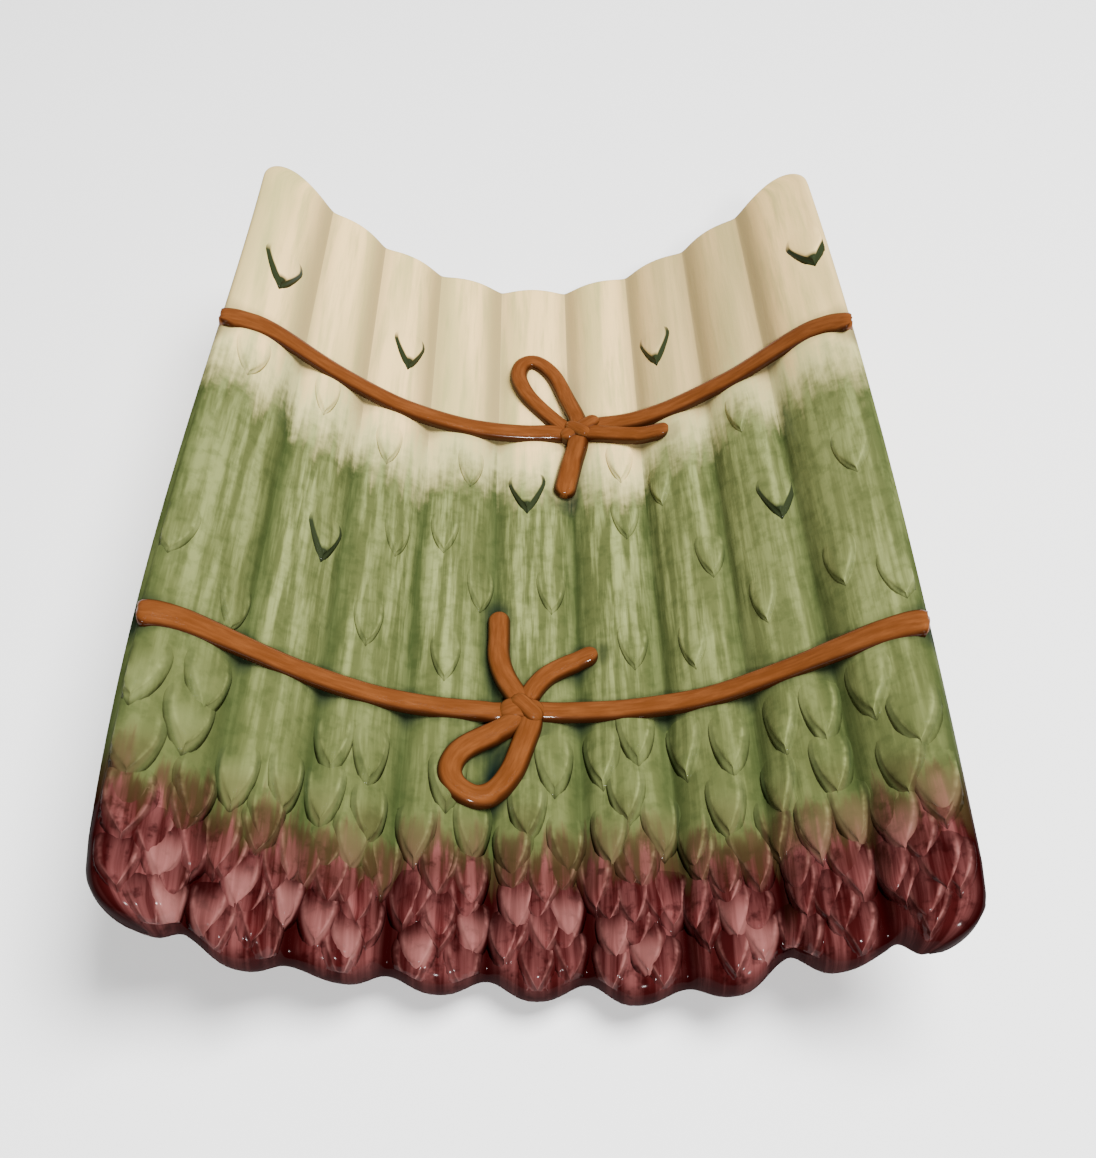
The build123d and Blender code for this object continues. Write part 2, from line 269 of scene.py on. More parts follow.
cream, cream_shade, olive = (0.82, 0.565, 0.235, 1.0), (0.30, 0.225, 0.100, 1.0), (0.345, 0.33, 0.125, 1.0)
sage, sage_light, sage_dark = (0.072, 0.084, 0.027, 1.0), (0.215, 0.24, 0.085, 1.0), (0.013, 0.025, 0.006, 1.0)
pale_green = (0.44, 0.42, 0.18, 1.0)
umber, rose = (0.030, 0.016, 0.007, 1.0), (0.165, 0.052, 0.049, 1.0)
rose_light = (0.25, 0.100, 0.090, 1.0)
plum, wine = (0.040, 0.0050, 0.0050, 1.0), (0.011, 0.0005, 0.0006, 1.0)
# Dark green and wine of pooled glaze and painted shade.
pooled_and_shaded_green, pooled_and_shaded_wine = (0.004, 0.009, 0.007, 1.0), (0.008, 0.0003, 0.0004, 1.0)
green_from, green_to, plum_from, plum_to = 86.0, 108.0, 214.0, 232.0


def stalk_colours(tree, along, across, shade, stands):
    """Brushed paint of the stalks: cream ends, sage shafts, plum tips, with pooled glaze and painted shade in
    the valleys and painted shade or light on some flanks and stalks. Returns colour and brush height.
    """
    place = add(tree, "CombineXYZ", sums(tree, "MULTIPLY", across, 23.0),
                sums(tree, "MULTIPLY", along, 0.075), 0.0)
    middle = add(tree, "Math", across, operation="ROUND")
    streak = add(tree, "TexNoise", place, None, 0.34, 4.0, 0.6)
    broad = add(tree, "TexNoise", place, None, 0.075, 2.0, 0.5)
    spots = add(tree, "TexNoise", add(tree, "TexCoord", out=3), None, 260.0, 3.0, 0.6)
    brushed = sums(tree, "ADD", sums(tree, "MULTIPLY", streak, 38.0), sums(tree, "MULTIPLY", broad, 26.0))
    each = add(tree, "TexWhiteNoise", None, middle, noise_dimensions="1D")
    uneven = sums(tree, "ADD", sums(tree, "MULTIPLY", each, 9.0), sums(tree, "MULTIPLY", spots, 12.0))
    reach = sums(tree, "ADD", sums(tree, "ADD", along, sums(tree, "SUBTRACT", brushed, 42.5)), uneven)
    to_green = ramp(tree, reach, green_from, green_to)
    short = sums(tree, "ADD", along, sums(tree, "MULTIPLY", sums(tree, "SUBTRACT", streak, 0.5), 34.0))
    to_plum = ramp(tree, short, plum_from, plum_to)
    local = add(tree, "Math", sums(tree, "SUBTRACT", across, middle), operation="ABSOLUTE")
    # Masks for pooled glaze and painted shade in the valleys, and for painted shade on the flanks that face the
    # middle.
    valley_pool_and_shade = sums(tree, "MULTIPLY", ramp(tree, local, 0.26, 0.5), stands)
    toward_middle = sums(tree, "MULTIPLY", sums(tree, "SUBTRACT", middle, across),
                         add(tree, "Math", across, operation="SIGN"))
    inner_flank_shade = sums(tree, "MULTIPLY", ramp(tree, toward_middle, 0.02, 0.46), stands)
    ends = wash(tree, ramp(tree, streak, 0.42, 0.72, 0.0, 0.6), cream, olive)
    ends = wash(tree, ramp(tree, broad, 0.45, 0.62, 0.0, 0.6), ends, olive)
    # Painted shade over the cream ends: on stalks seven and eight, in the valleys with pooled glaze, and on the
    # flanks facing the middle.
    right_stalks_shade = sums(tree, "MULTIPLY", ramp(tree, across, 1.3, 2.1), ramp(tree, across, 3.8, 3.3))
    ends = wash(tree, sums(tree, "MULTIPLY", right_stalks_shade, 0.6), ends, cream_shade)
    ends = wash(tree, sums(tree, "MULTIPLY", valley_pool_and_shade, 0.5), ends, cream_shade)
    ends = wash(tree, sums(tree, "MULTIPLY", inner_flank_shade, 0.9), ends, cream_shade)
    shaft = wash(tree, ramp(tree, streak, 0.40, 0.66), sage, sage_light)
    shaft = wash(tree, ramp(tree, broad, 0.44, 0.66, 0.0, 0.6), shaft, sage)
    shaft = wash(tree, ramp(tree, along, 150.0, 205.0, 0.0, 0.68), shaft, sage)
    # Painted shade on the outermost left shaft, and painted light on the right shafts, most towards the cut
    # ends.
    shaft = wash(tree, ramp(tree, across, -3.0, -4.2, 0.0, 0.3), shaft, sage)
    lit = sums(tree, "MULTIPLY", ramp(tree, across, 1.6, 3.2, 0.0, 0.16), ramp(tree, along, 190.0, 160.0))
    shaft = wash(tree, lit, shaft, sage_light)
    shaft = wash(tree, ramp(tree, spots, 0.42, 0.7, 0.0, 0.3), shaft, sage_dark)
    # Pooled glaze and painted shade in the shafts' valleys, painted shade on their flanks facing the middle.
    shaft = wash(tree, sums(tree, "MULTIPLY", valley_pool_and_shade, 0.6), shaft, sage_dark)
    shaft = wash(tree, sums(tree, "MULTIPLY", inner_flank_shade, 0.2), shaft, sage_dark)
    tips = wash(tree, ramp(tree, streak, 0.38, 0.68), plum, rose)
    tips = wash(tree, ramp(tree, spots, 0.5, 0.72, 0.0, 0.7), tips, wine)
    # Pooled glaze and painted shade in the valleys between the tips.
    tips = wash(tree, valley_pool_and_shade, tips, wine)
    colour = wash(tree, ramp(tree, reach, 74.0, 94.0, 0.0, 0.8), ends, pale_green)
    colour = wash(tree, to_green, colour, shaft)
    turning = sums(tree, "MULTIPLY", to_plum, sums(tree, "SUBTRACT", 1.0, to_plum))
    colour = wash(tree, to_plum, colour, tips)
    colour = wash(tree, sums(tree, "MULTIPLY", turning, 2.6), colour, umber)
    # Pooled glaze and painted shade, as much as the shade input gives: a shaded cream at the ends, dark green
    # on the shafts, wine at the tips.
    dark = wash(tree, ramp(tree, along, 205.0, 226.0), pooled_and_shaded_green, pooled_and_shaded_wine)
    dark = wash(tree, ramp(tree, along, 70.0, 105.0), cream_shade, dark)
    colour = wash(tree, shade, colour, dark)
    return colour, sums(tree, "ADD", sums(tree, "MULTIPLY", streak, 0.7), sums(tree, "MULTIPLY", spots, 0.3))


stalk_glaze, tree = new_material("stalk_glaze")
paint, brush = stalk_colours(tree, add(tree, "Attribute", attribute_name="along", out=2),
                             add(tree, "Attribute", attribute_name="across", out=2),
                             add(tree, "Attribute", attribute_name="pool_and_shade", out=2), 1.0)
glaze_over(stalk_glaze, paint, brush, 0.3, 0.07, 0.25)

across_steps, along_steps, valley_crowding, end_crowding = 180, 220, 0.55, 0.7
tip_from, tip_fade = 200.0, 50.0
# Darker on the underside and along the outline towards the tips, and darker over the tips themselves.
under_dark, under_dark_wide, rim_dark, rim_dark_wide = 0.9, 12.0, 0.85, 5.0
tip_dark, tip_dark_from, tip_dark_fade = 0.35, 226.0, 16.0
bm = bmesh.new()
bmesh.ops.create_grid(bm, x_segments=across_steps, y_segments=along_steps, size=0.5)
across_layer = bm.verts.layers.float.new("across")
along_layer = bm.verts.layers.float.new("along")
pool_and_shade_layer = bm.verts.layers.float.new("pool_and_shade")
for vert in bm.verts:
    step = vert.co.x * (2 * outer + 1)
    stalk = min(max(round(step), -outer), outer)
    a = step - stalk
    vert[across_layer] = stalk + a + valley_crowding * sin(2 * pi * a) / (2 * pi)
    share = 0.5 - vert.co.y
    vert[along_layer] = share - end_crowding * sin(2 * pi * share) / (2 * pi)
top_faces = bm.faces[:]
under = bmesh.ops.duplicate(bm, geom=bm.verts[:] + bm.edges[:] + top_faces)["geom"]
under_verts = {item for item in under if isinstance(item, bmesh.types.BMVert)}
bmesh.ops.reverse_faces(bm, faces=[item for item in under if isinstance(item, bmesh.types.BMFace)])
for vert in bm.verts:
    s = vert[across_layer]
    d = vert[along_layer] * (length - tip_setback(s))
    vert[along_layer] = painted(s, d)
    place = stalk_point(s, d)
    distance = edge_distance(place.x, d, s)
    tipward = clip((d - tip_from) / tip_fade)
    if vert in under_verts:
        below = underside(place.x, d)
        radius = min(lower_roll + (lip_under - lower_roll) * tipward, lower_roll_share * (place.z - below))
        place.z = below + quarter_round(radius, distance)
        vert[pool_and_shade_layer] = under_dark * tipward * max(1.0 - distance / under_dark_wide, 0.0)
    else:
        place.z -= edge_drop(place, d, s)
        at_rim = rim_dark * max(1.0 - distance / rim_dark_wide, 0.0)
        vert[pool_and_shade_layer] = tipward * max(at_rim, tip_dark * clip((d - tip_dark_from) / tip_dark_fade))
    vert.co = place * mm
bmesh.ops.bridge_loops(bm, edges=[edge for edge in bm.edges if edge.is_boundary])
plate = finish_piece("plate", bm, stalk_glaze, "stalk_glaze", "plate_body")

# Foot ring
# A closed ring of clay luted under the trough and glazed cream.
# Its flat lower face is wiped bare before firing.
foot_glaze, tree = new_material("foot_glaze")
bare_clay = (0.35, 0.20, 0.09, 1.0)
here = add(tree, "TexCoord", out=3)
speckle = add(tree, "TexNoise", here, None, 420.0, 4.0, 0.65)
height_of = add(tree, "SeparateXYZ", here, out=2)
bare = ramp(tree, sums(tree, "ADD", height_of, sums(tree, "MULTIPLY", speckle, 0.0008)), 0.0009, 0.0004)
washed = wash(tree, ramp(tree, speckle, 0.35, 0.75, 0.0, 0.25), cream, olive)
glaze_over(foot_glaze, wash(tree, bare, washed, bare_clay), speckle, 0.35, 0.4, 0.15)
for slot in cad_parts["foot_ring"].material_slots:
    slot.material = foot_glaze

# Bracts
# Pointed scales of clay pressed onto each stalk, flush at the root and proud at the point.
# A few stand along the shafts, some outlined in dark green, and they crowd and overlap at the tips.
# Each is set out as distance of its point from the cut ends and place across its stalk.
shaft_bracts = (
    ((52, 0.0), (92, -0.1), (160, -0.36), (176, 0.3)),
    ((90, -0.1), (142, 0.2)),
    ((54, 0.05), (98, -0.1), (132, 0.15), (166, -0.1)),
    ((98, 0.1), (126, -0.2), (146, 0.3), (172, -0.1)),
    ((106, -0.1), (146, 0.2)),
    ((97, 0.2), (120, 0.22), (168, 0.2)),
    ((50, -0.1), (110, -0.25), (142, 0.3), (172, -0.05)),
    ((130, 0.3), (164, -0.1), (94, 0.0)),
    ((46, 0.3), (128, 0.2), (162, -0.15), (172, 0.35)),
)
outlined = {(0, 52), (1, 142), (2, 54), (4, 106), (6, 50), (7, 130), (8, 46)}
tip_bracts = (
    ((202, 0.2), (204, -0.38), (214, 0.1), (224, -0.3), (232, 0.3),
     (240, -0.25), (244, 0.42), (248, 0.12), (258, 0.25)),
    ((224, -0.32), (222, 0.2), (234, 0.05), (242, -0.35), (240, 0.4),
     (250, -0.1), (250, 0.42), (258, -0.35), (258, 0.1)),
    ((206, -0.32), (208, 0.1), (226, 0.15), (222, -0.35), (234, 0.0), (238, 0.38),
     (240, -0.42), (244, -0.18), (248, 0.12), (254, -0.25), (258, 0.05)),
    ((212, 0.0), (226, 0.3), (228, -0.3), (240, 0.3), (238, -0.05),
     (246, -0.36), (250, 0.0), (252, 0.34), (258, -0.2)),
    ((206, 0.2), (220, -0.1), (230, 0.32), (232, -0.25), (240, 0.08),
     (246, -0.2), (248, 0.3), (252, 0.08), (254, -0.32), (258, 0.32)),
    ((198, 0.15), (204, -0.25), (216, 0.0), (226, 0.35), (228, -0.2), (236, 0.1),
     (240, -0.38), (246, 0.0), (246, 0.38), (254, -0.2), (258, 0.1)),
    ((204, -0.3), (206, 0.22), (224, 0.1), (232, -0.3), (240, 0.32),
     (242, 0.0), (248, -0.36), (252, 0.05), (258, 0.28)),
    ((204, -0.15), (204, 0.3), (220, 0.3), (222, -0.3), (232, -0.42), (234, 0.4),
     (236, 0.02), (248, 0.34), (250, -0.22), (256, 0.12), (258, -0.4)),
    ((202, -0.15), (214, 0.2), (226, 0.0), (234, 0.26),
     (240, -0.15), (250, -0.32), (252, 0.14), (258, -0.05)),
)
tip_size, tip_size_less, tip_wide, tip_wide_less, tip_thick, tip_flange = 22.0, 5.0, 8.0, 0.6, 2.3, 1.8
shaft_size, shaft_wide, shaft_thick, shaft_flange, shaft_tone = 20.0, 7.6, 1.8, 0.9, 0.1
stroke_wider, stroke_flange = 2.6, 0.5
short_from, short_fade, outer_bigger = 236.0, 22.0, 1.15
tone_middle, tone_swing, left_paler = 0.12, 0.6, 0.22
under_rows, under_pitch, under_first = 4, 8.5, 261.0
# The under rows are painted darker, as painted shade beneath the rows that overlap them.
under_size, under_wide, under_thick, under_flange, under_shade_tone = 17.0, 8.0, 1.5, 1.4, -0.45
belly, root_wide = 0.46, 0.4


def leaf_half(l, sharp):
    """Half width of a bract along its length, as a share of its widest."""
    if l < belly:
        return root_wide + (1 - root_wide) * sin(pi / 2 * l / belly)
    closing = (l - belly) / (1 - belly)
    return 1.0 - closing ** 1.3 if sharp else (1.0 - closing ** 1.75) ** 0.84


bract_glaze, tree = new_material("bract_glaze")
parts = tree.nodes.new("ShaderNodeSeparateXYZ")
tree.links.new(add(tree, "Attribute", attribute_name="leaf", out=1), parts.inputs[0])
pale_rim_and_highlight_in, run, paleness = parts.outputs
paint_place = add(tree, "Attribute", attribute_name="along", out=2)
paint, brush = stalk_colours(tree, paint_place, add(tree, "Attribute", attribute_name="across", out=2),
                             add(tree, "Attribute", attribute_name="pool_and_shade", out=2),
                             ramp(tree, run, 0.3, 0.8, 1.0, 0.25))
body = ramp(tree, run, 0.35, 0.75)
pale = wash(tree, ramp(tree, paint_place, 215.0, 235.0), sage_light, rose_light)
pale = wash(tree, ramp(tree, paint_place, 75.0, 100.0), cream, pale)
deep = wash(tree, ramp(tree, paint_place, 212.0, 232.0), sage, wine)
deep = wash(tree, ramp(tree, paint_place, 75.0, 100.0), cream_shade, deep)
# Low-toned bracts painted deeper: at random from bract to bract, and as painted shade on the under rows.
paint = wash(tree, sums(tree, "MULTIPLY", body, ramp(tree, paleness, 0.0, -1.0, 0.0, 0.9)), paint, deep)
paint = wash(tree, sums(tree, "MULTIPLY", body, ramp(tree, paleness, 0.0, 1.0, 0.0, 0.5)), paint, pale)
# Pale rims on the bracts: glaze thin on the raised edges, and painted highlight.
flecks = add(tree, "TexNoise", add(tree, "TexCoord", out=3), None, 330.0, 2.0, 0.5)
paint = wash(tree, sums(tree, "MULTIPLY", pale_rim_and_highlight_in, ramp(tree, flecks, 0.35, 0.65, 0.15, 0.8)), paint, pale)
turn_band = sums(tree, "MULTIPLY", ramp(tree, paint_place, 204.0, 217.0), ramp(tree, paint_place, 238.0, 226.0))
paint = wash(tree, sums(tree, "MULTIPLY", turn_band, sums(tree, "MULTIPLY", body, 0.45)), paint, umber)
stroke_ink = (0.018, 0.024, 0.010, 1.0)
paint = wash(tree, add(tree, "Attribute", attribute_name="outline", out=2), paint, stroke_ink)
glaze_over(bract_glaze, paint, brush, 0.3, 0.16, 0.25)

leaf_segments, leaf_rings, last_ring = 24, 15, 0.935
flange_band, root_sunk, root_run, below_sunk = 0.3, 0.5, 0.4, 0.3
bract_pitch, stalk_keep, rim_keep, lip_keep = 24.0, 0.49, 0.44, 0.8
tip_tone_fade, crowd_from, crowd_fade, plum_root, plum_root_fade = 34.0, 222.0, 14.0, 221.0, 15.0
tiny = 1e-6


def press_bract(bm, stalk, point_d, share, size, width, thick, flange, tone, stroke):
    """One pillow-shaped pointed scale on a stalk, its root sunk in the clay, with pooled glaze and painted
    shade round its edge and at its root.

    On the scale, l runs from root to point and inward from the edge to the middle line;
    spill falls from 1 at the outer edge of the thin flange round the scale to 0 where the flange meets it.
    """
    layers = bm.verts.layers
    number = stalk - outer
    turned = painted(number, point_d)
    tipward = clip((turned - tip_from) / tip_tone_fade)
    crowded = clip((turned - crowd_from) / crowd_fade)
    ball = bmesh.ops.create_uvsphere(bm, u_segments=leaf_segments, v_segments=leaf_rings, radius=1.0)
    for vert in ball["verts"]:
        l = min((1 - acos(min(max(vert.co.z, -1.0), 1.0)) / pi) / last_ring, 1.0)
        ring = hypot(vert.co.x, vert.co.y)
        pole = ring < tiny
        turn = 0.0 if pole else acos(min(max(vert.co.x / ring, -1.0), 1.0)) / pi
        inward = 2 * min(turn, 1 - turn)
        half = leaf_half(l, stroke > 0) * width / 2
        side = 1 if turn < 0.5 else -1
        spill = max(1 - inward / flange_band, 0.0)
        rise = thick * 1.1 * l ** 2 * (1 - 0.8 * max((l - 0.78) / 0.22, 0.0) ** 2.2)
        arch = sin(pi / 2 * max(inward - flange_band, 0.0) / 0.7)
        reach = half * sqrt(1 - arch ** 2) + spill * flange * min(l * 3, 1.0)
        lift = 0.05 - below_sunk * (spill > 0.95)
        lift += rise * (0.35 - 0.2 * spill + (0.65 + 0.2 * spill) * arch ** 0.62)
        lift -= root_sunk * max(1 - l / root_run, 0.0)
        if vert.co.y < -tiny:
            reach, lift, spill = half * sqrt(1 - arch ** 2), -below_sunk - 0.5 * arch, 0.0
        d = point_d - size * (1 - l) + spill * flange * max(l - 0.6, 0.0) / 0.4
        if pole:
            spill, reach, lift = 0.7, 0.0, -0.05
            d += flange if l > 0.5 else 0.0
        s = number + share + side * reach / bract_pitch
        s = min(max(s, number - stalk_keep), number + stalk_keep) if stroke else s
        s = min(max(s, -outer - rim_keep), outer + rim_keep)
        d = min(d, length - tip_setback(s) - lip_keep)
        place = stalk_point(s, d, lift)
        place.z -= edge_drop(place, d, s)
        vert.co = place * mm
        grown = clip((l - 0.3) / 0.35)
        own = tipward * (1 - spill) * grown
        vert[layers.float["across"]] = s
        vert[layers.float["along"]] = painted(number, d + (point_d - 2.0 - d) * 0.5 * own)
        # Pooled glaze and painted shade in the flange round the edge; painted shade at the root, under the
        # points of the row above, where the stalk is already plum.
        edge_pool_and_shade = max(1 - inward / 0.42, 0.0) / 0.3 if spill == 0 else 1 - spill
        rooted = clip((painted(number, d) - plum_root) / plum_root_fade)
        root_pool_and_shade = crowded * rooted * min(max(1.25 - l / 0.7, 0.0), 0.95)
        fading = clip((l - 0.25) / 0.3)
        vert[layers.float["pool_and_shade"]] = max(min(edge_pool_and_shade, 1.0) * fading * (0.3 + 0.65 * tipward), root_pool_and_shade)
        brushed = spill or inward < 0.36 or l > 0.92
        lined = clip((l - 0.28 + 0.06 * side) / 0.16) if brushed else 0.0
        vert[layers.float["outline"]] = stroke * (1.0 if pole and l > 0.5 else lined)
        # Pale rim: glaze thin on the raised edge and painted highlight, stronger on the right side, where the
        # light comes from.
        pale_rim_and_highlight = fading * max(1 - abs(inward - 0.46) / 0.18, 0.0) * (1 - stroke)
        pale_rim_and_highlight *= 1.0 if side > 0 else 0.5
        vert[layers.float_vector["leaf"]] = (pale_rim_and_highlight, (1 - spill) * l, tone)


for stalk in range(2 * outer + 1):
    bm = bmesh.new()
    for layer_name in ("across", "along", "pool_and_shade", "outline"):
        bm.verts.layers.float.new(layer_name)
    bm.verts.layers.float_vector.new("leaf")
    for row in range(under_rows):
        for share in (-0.25, 0.25) if (row + stalk) % 2 else (0.0,):
            press_bract(bm, stalk, under_first - row * under_pitch, share, under_size, under_wide,
                        under_thick, under_flange, under_shade_tone, 0.0)
    for count, (point_d, share) in enumerate(tip_bracts[stalk]):
        big = outer_bigger if stalk in (0, 2 * outer) else 1.0
        contrast = min(max((point_d - tip_from) / tip_tone_fade, 0.2), 1.0)
        tone = tone_middle + tone_swing * sin(7.3 * count + 2.1 * stalk) * contrast
        tone += left_paler if stalk < 2 else 0.0
        near_tip = clip((point_d - short_from) / short_fade)
        press_bract(bm, stalk, point_d, share, tip_size - tip_size_less * near_tip,
                    (tip_wide - tip_wide_less * near_tip) * big, tip_thick, tip_flange, tone, 0.0)
    for point_d, share in shaft_bracts[stalk]:
        stroke = 1.0 if (stalk, point_d) in outlined else 0.0
        press_bract(bm, stalk, point_d, share, shaft_size, shaft_wide + stroke_wider * stroke, shaft_thick,
                    shaft_flange + stroke_flange * stroke, shaft_tone, stroke)
    bmesh.ops.recalc_face_normals(bm, faces=bm.faces)
    finish_piece(f"bracts_{stalk + 1}", bm, bract_glaze, "bract_glaze", f"bracts_stalk_{stalk + 1}")

# Rear tie and bow
# A strap of clay with a rounded back, pressed over the crowns from rim to rim and knotted right of the middle,
# with one loop and two tails, painted burnt orange with dark edges, and painted shade on its lower side.
tie_glaze, tree = new_material("tie_glaze")
ginger, ginger_light = (0.098, 0.029, 0.0065, 1.0), (0.150, 0.049, 0.0135, 1.0)
# Dark brown of the painted edges, also used as painted shade on the lower side.
dark_edge_and_shade = (0.020, 0.004, 0.001, 1.0)
lay = tree.nodes.new("ShaderNodeSeparateXYZ")
tree.links.new(add(tree, "Attribute", attribute_name="lay", out=1), lay.inputs[0])
grain_place = add(tree, "CombineXYZ", sums(tree, "MULTIPLY", lay.outputs[0], 3.0),
                  sums(tree, "MULTIPLY", lay.outputs[1], 0.12), lay.outputs[2])
grain = add(tree, "TexNoise", grain_place, None, 1.1, 4.0, 0.6)
patch = add(tree, "TexNoise", add(tree, "TexCoord", out=3), None, 120.0, 2.0, 0.5)
edge_and_under_shade = add(tree, "Math", lay.outputs[0], operation="ABSOLUTE")
paint = wash(tree, ramp(tree, grain, 0.3, 0.8), ginger, ginger_light)
paint = wash(tree, ramp(tree, patch, 0.45, 0.75, 0.0, 0.6), paint, ginger)
# Dark painted edges, and painted shade on the strap's lower side.
paint = wash(tree, ramp(tree, edge_and_under_shade, 0.62, 1.0, 0.0, 0.9), paint, dark_edge_and_shade)
glaze_over(tie_glaze, paint, grain, 0.32, 0.4, 0.2)
strap_high, strand_half = 2.3, 2.8
rear_half, rear_flare = 3.3, 0.15
bridge_sag, rim_search = 0.5, 18


def crown_level(x, y):
    """Level of a strap that half bridges the valleys between the crowns and rolls over the rims."""
    d = length / 2 - y
    rim, side = rim_x(d, x), 1 if x > 0 else -1
    x = abs(x)
    crowns = [stalk_point(number, d) for number in range(outer)] + [stalk_point(side * outer, d)]
    crowns[-1].x *= side
    if x >= crowns[-1].x:
        low, high = float(outer), outer + 0.5
        for _ in range(rim_search):
            middle = (low + high) / 2
            low, high = (middle, high) if abs(stalk_point(side * middle, d).x) < x else (low, middle)
        return stalk_point(side * low, d).z - quarter_round(rim_roll, rim - x)
    index = next(i for i in range(outer) if x <= crowns[i + 1].x)
    first, second = crowns[index], crowns[index + 1]
    before = crowns[index - 1] if index else Vector((-second.x, second.y, second.z))
    after = crowns[min(index + 2, outer)]
    span = second.x - first.x
    share = (x - first.x) / span
    lean_in = (second.z - before.z) / (second.x - before.x) * span
    lean_out = (after.z - first.z) / (after.x - first.x) * span
    bridge = bend(share, first.z, second.z, lean_in, lean_out)
    return bridge + (stalk_point(side * (index + share), d).z - bridge) * bridge_sag


path_steps = 24


def smooth_path(points, count):
    """Evenly spaced places on a smooth line through plan points, and the line's length."""
    points = [Vector(point) for point in points]
    chain = [points[0] * 2 - points[1], *points, points[-1] * 2 - points[-2]]
    fine = []
    for a, b, c, e in zip(chain, chain[1:], chain[2:], chain[3:]):
        for step in range(path_steps):
            t = step / path_steps
            fine.append(0.5 * (2 * b + (c - a) * t + (2 * a - 5 * b + 4 * c - e) * t * t
                               + (3 * b - a - 3 * c + e) * t ** 3))
    fine.append(points[-1])
    reach = [0.0]
    for a, b in zip(fine, fine[1:]):
        reach.append(reach[-1] + (b - a).length)
    wanted = [reach[-1] * step / count for step in range(count + 1)]
    xs = np.interp(wanted, reach, [point.x for point in fine])
    ys = np.interp(wanted, reach, [point.y for point in fine])
    return [Vector((x, y)) for x, y in zip(xs, ys)], reach[-1]


rings, strap_segments, strap_below, strap_sunk, rim_over = 90, 20, 1.3, 0.1, 0.2
long_strap, long_window, short_window, end_blend, flare_run = 80.0, 11.0, 5.0, 12.0, 30.0


def lay_strap(bm, points, half, high, seed, lift, ends, flare):
    """A strap with a rounded back laid along plan points, its lower side sunk towards the valleys."""
    places, reach = smooth_path(points, rings)
    levels = np.array([crown_level(place.x, place.y) for place in places])
    window = max(round((long_window if reach > long_strap else short_window) / reach * rings), 1)
    evenly = np.full(2 * window + 1, 1 / (2 * window + 1))
    smooth = np.convolve(np.pad(levels, window, mode="edge"), evenly, "valid")
    from_end = np.minimum(np.arange(rings + 1), rings - np.arange(rings + 1)) * reach / rings
    levels += (smooth - levels) * np.clip(from_end / end_blend, 0.0, 1.0)
    layer = bm.verts.layers.float_vector["lay"]
    ball = bmesh.ops.create_uvsphere(bm, u_segments=strap_segments, v_segments=rings, radius=1.0)
    for vert in ball["verts"]:
        l = acos(min(max(vert.co.z, -1.0), 1.0)) / pi
        ring = hypot(vert.co.x, vert.co.y)
        w, up = (vert.co.x / ring, vert.co.y / ring) if ring > tiny else (0.0, 0.0)
        index = min(max(round(l * rings), 0), rings)
        place = places[index]
        ahead = (places[min(index + 1, rings)] - places[max(index - 1, 0)]).normalized()
        side_way = Vector((ahead.y, -ahead.x))
        to_end = min(l * reach / ends[0], (1 - l) * reach / ends[1])
        close = sqrt(max(1 - max(1 - to_end / half, 0.0) ** 2, 0.0))
        to_rim = l * reach if ends[0] < 1 else (1 - l) * reach
        broad = half * close * (1 + flare * max(1 - to_rim / flare_run, 0.0))
        over = crown_level(place.x + side_way.x, place.y + side_way.y) - crown_level(place.x, place.y)
        slant = Vector((side_way.x, side_way.y, over)).normalized()
        upright = Vector((0.0, 0.0, 1.0)) - slant * slant.z
        upright.normalize()
        spread = w * abs(w) ** -0.25 if abs(w) > tiny else 0.0
        rise = abs(up) ** 0.75 * high if up > 0 else -abs(up) ** 0.75 * strap_below
        rise *= 0.35 + 0.65 * close
        base = Vector((place.x, place.y, levels[index] + lift - strap_sunk))
        here = base + slant * spread * broad + upright * rise
        d = length / 2 - here.y
        here.x = min(max(here.x, -rim_x(d, -1) - rim_over), rim_x(d, 1) + rim_over)
        vert.co = here * mm
        # The lower side takes the dark edge colour as painted shade.
        vert[layer] = (spread if up > -0.1 else (1.0 if w > 0 else -1.0), l * reach, seed)


pool_and_shade_depth, pool_and_shade_wide, pool_and_shade_wider = 0.8, 1.8, 3.2


def pool_and_shade_beside(points, half, depth):
    """Darken the stalks along a strap with pooled glaze and painted shadow, most of all in the valleys it
    bridges.
    """
    mesh = plate.data
    count = len(mesh.vertices)
    places = np.empty(count * 3)
    mesh.vertices.foreach_get("co", places)
    places = places.reshape(-1, 3) / mm
    normals = np.empty(count * 3)
    mesh.vertices.foreach_get("normal", normals)
    upper = np.clip(normals[2::3] / 0.4, 0.0, 1.0)
    pool_and_shade, across = np.empty(count), np.empty(count)
    mesh.attributes["pool_and_shade"].data.foreach_get("value", pool_and_shade)
    mesh.attributes["across"].data.foreach_get("value", across)
    apart = np.full(count, 1e3)
    for spot in smooth_path(points, 80)[0]:
        apart = np.minimum(apart, np.hypot(places[:, 0] - spot.x, places[:, 1] - spot.y))
    in_valley = np.clip((np.abs(across - np.round(across)) - 0.28) / 0.2, 0.0, 1.0)
    fade = np.clip(1 - (apart - half) / (pool_and_shade_wide + pool_and_shade_wider * in_valley), 0.0, 1.0)
    pool_and_shade = np.maximum(pool_and_shade, fade * depth * (0.55 + 0.45 * in_valley) * upper)
    mesh.attributes["pool_and_shade"].data.foreach_set("value", pool_and_shade.astype(np.float32))


full, at_left_rim, at_right_rim = (1.0, 1.0), (0.25, 1.0), (1.0, 0.25)


def strap_piece(name, node, *straps, ends=full, flare=0.0):
    """One piece of a tie, laid from one or more straps: plan points, half width, height and lift of each."""
    bm = bmesh.new()
    bm.verts.layers.float_vector.new("lay")
    for count, (points, half, high, lift) in enumerate(straps):
        lay_strap(bm, points, half, high, len(name) + 3.7 * count, lift, ends, flare)
        pool_and_shade_beside(points, half, pool_and_shade_depth)
    bmesh.ops.recalc_face_normals(bm, faces=bm.faces)
    finish_piece(name, bm, tie_glaze, "tie_glaze", node)


